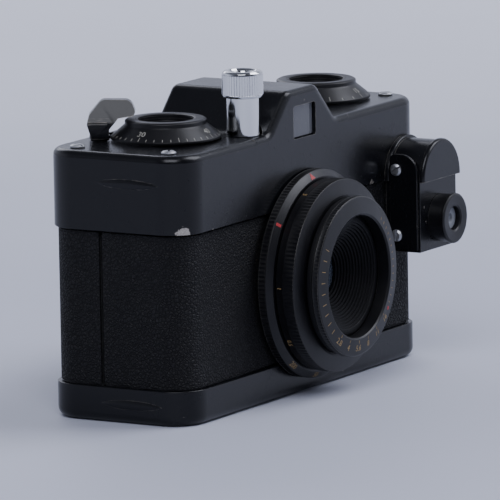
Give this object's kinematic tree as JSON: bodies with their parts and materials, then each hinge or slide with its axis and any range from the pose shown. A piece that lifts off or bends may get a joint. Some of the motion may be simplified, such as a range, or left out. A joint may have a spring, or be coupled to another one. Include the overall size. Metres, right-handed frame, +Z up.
{
  "type": "subminiature camera",
  "caption": "Subminiature film camera with a leather-covered body, turned lens rings, two deck dials, a wind lever, a column release and a flash contact box.",
  "frame": {"origin": "centre of the underside of the base plate", "axes": "+Z up, +X along the width to the right as seen from the front, the lens looks along -Y"},
  "size_m": [0.0764, 0.0364, 0.0534],
  "materials": {
    "enamel": "satin black lacquer, edge wear",
    "leatherette": "fine pressed grain, matt",
    "ring_black": "black anodised, knurled edges",
    "chrome": "polished",
    "steel": "satin",
    "brass": "satin",
    "castmetal": "cast, matt",
    "optical_glass": "coated",
    "film_base": "smooth",
    "insulator": "matt"
  },
  "bodies": {
    "base_unit": {"base_plate": "enamel", "back_panel": "castmetal", "back_covering": "leatherette", "pressure_plate": "steel", "pressure_spring": "steel"},
    "lock_key": {"lock_key": "steel"},
    "camera_body": {"front_body": "castmetal", "front_covering": "leatherette", "top_housing": "enamel", "deck_screw_1": "steel", "deck_screw_2": "steel", "deck_screw_3": "steel", "deck_screw_4": "steel", "finder_front_glass": "optical_glass", "finder_eye_lens": "optical_glass", "eyepiece_frame": "ring_black", "mechanism_plate": "brass", "release_sleeve": "chrome", "release_spring": "steel", "lens_mount": "brass", "shutter_plate": "steel", "film_gate": "castmetal", "take_up_cassette": "enamel", "feed_cassette": "enamel", "film_strip": "film_base", "contact_box": "enamel", "contact_box_cap": "enamel", "contact_box_plate": "enamel", "contact_box_screw_1": "steel", "contact_box_screw_2": "steel", "contact_socket": "ring_black", "contact_pin": "insulator"},
    "release_cap": {"release_cap": "chrome"},
    "wind_lever": {"wind_lever": "enamel", "wind_gear": "brass"},
    "cocking_gear": {"cocking_gear": "steel"},
    "counter_dial": {"counter_dial": "ring_black"},
    "memo_dial": {"memo_dial": "ring_black"},
    "speed_ring": {"speed_ring": "ring_black"},
    "focus_ring": {"focus_ring": "ring_black"},
    "lens_cell": {"lens_cell": "ring_black", "front_element": "optical_glass", "rear_cell": "ring_black", "rear_element": "optical_glass"},
    "aperture_ring": {"aperture_ring": "ring_black"},
    "shutter_blade": {"shutter_blade": "steel"},
    "iris_blade_1": {"iris_blade_1": "steel"},
    "iris_blade_2": {"iris_blade_2": "steel"},
    "iris_blade_3": {"iris_blade_3": "steel"},
    "iris_blade_4": {"iris_blade_4": "steel"},
    "iris_blade_5": {"iris_blade_5": "steel"}
  },
  "joints": [
    {"name": "body_lift", "type": "slide", "parent": "base_unit", "child": "camera_body", "axis": [0, 0, 1], "range_m": [0, 0.03]},
    {"name": "lock_turn", "type": "hinge", "parent": "base_unit", "child": "lock_key", "pos_m": [0.018, 0, 0], "axis": [0, 0, 1], "range_deg": [0, 90]},
    {"name": "release_press", "type": "slide", "parent": "camera_body", "child": "release_cap", "axis": [0, 0, -1], "range_m": [0, 0.0018], "stiffness_N_per_m": 300, "deforming": ["release_spring"]},
    {"name": "wind_swing", "type": "hinge", "parent": "camera_body", "child": "wind_lever", "pos_m": [-0.0214, 0, 0.043], "axis": [0, 0, -1], "range_deg": [0, 60], "stiffness_Nm_per_rad": 0.01},
    {"name": "cocking_turn", "type": "hinge", "parent": "camera_body", "child": "cocking_gear", "pos_m": [-0.01147, -0.00342, 0.034], "axis": [0, 0, 1], "range_deg": [0, 105]},
    {"name": "counter_turn", "type": "hinge", "parent": "camera_body", "child": "counter_dial", "pos_m": [-0.0214, 0, 0.043], "axis": [0, 0, 1], "continuous": true},
    {"name": "memo_turn", "type": "hinge", "parent": "camera_body", "child": "memo_dial", "pos_m": [0.0265, 0, 0.043], "axis": [0, 0, 1], "continuous": true},
    {"name": "speed_turn", "type": "hinge", "parent": "camera_body", "child": "speed_ring", "pos_m": [0, -0.0145, 0.0192], "axis": [0, -1, 0], "range_deg": [0, 90]},
    {"name": "focus_turn", "type": "hinge", "parent": "camera_body", "child": "focus_ring", "pos_m": [0, -0.0175, 0.0192], "axis": [0, -1, 0], "range_deg": [0, 270]},
    {"name": "focus_travel", "type": "slide", "parent": "camera_body", "child": "lens_cell", "axis": [0, -1, 0], "range_m": [0, 0.00085]},
    {"name": "aperture_turn", "type": "hinge", "parent": "lens_cell", "child": "aperture_ring", "pos_m": [0, -0.0215, 0.0192], "axis": [0, -1, 0], "range_deg": [0, 75]},
    {"name": "iris_1_turn", "type": "hinge", "parent": "lens_cell", "child": "iris_blade_1", "pos_m": [0.0066, -0.0133, 0.0192], "axis": [0, -1, 0], "range_deg": [0, 25.5]},
    {"name": "iris_2_turn", "type": "hinge", "parent": "lens_cell", "child": "iris_blade_2", "pos_m": [0.00204, -0.0133, 0.02548], "axis": [0, -1, 0], "range_deg": [0, 25.5]},
    {"name": "iris_3_turn", "type": "hinge", "parent": "lens_cell", "child": "iris_blade_3", "pos_m": [-0.00534, -0.0133, 0.02308], "axis": [0, -1, 0], "range_deg": [0, 25.5]},
    {"name": "iris_4_turn", "type": "hinge", "parent": "lens_cell", "child": "iris_blade_4", "pos_m": [-0.00534, -0.0133, 0.01532], "axis": [0, -1, 0], "range_deg": [0, 25.5]},
    {"name": "iris_5_turn", "type": "hinge", "parent": "lens_cell", "child": "iris_blade_5", "pos_m": [0.00204, -0.0133, 0.01292], "axis": [0, -1, 0], "range_deg": [0, 25.5]},
    {"name": "shutter_swing", "type": "hinge", "parent": "camera_body", "child": "shutter_blade", "pos_m": [0, -0.0093, 0.0258], "axis": [0, -1, 0], "range_deg": [0, 60], "stiffness_Nm_per_rad": 0.0005}
  ],
  "couplings": [
    {"joint": "cocking_turn", "follows": "wind_swing", "ratio": 1.6923},
    {"joint": "focus_travel", "follows": "focus_turn", "m_per_rad": 0.000178},
    {"joint": "iris_1_turn", "follows": "aperture_turn", "ratio": 0.3333},
    {"joint": "iris_2_turn", "follows": "aperture_turn", "ratio": 0.3333},
    {"joint": "iris_3_turn", "follows": "aperture_turn", "ratio": 0.3333},
    {"joint": "iris_4_turn", "follows": "aperture_turn", "ratio": 0.3333},
    {"joint": "iris_5_turn", "follows": "aperture_turn", "ratio": 0.3333}
  ]
}
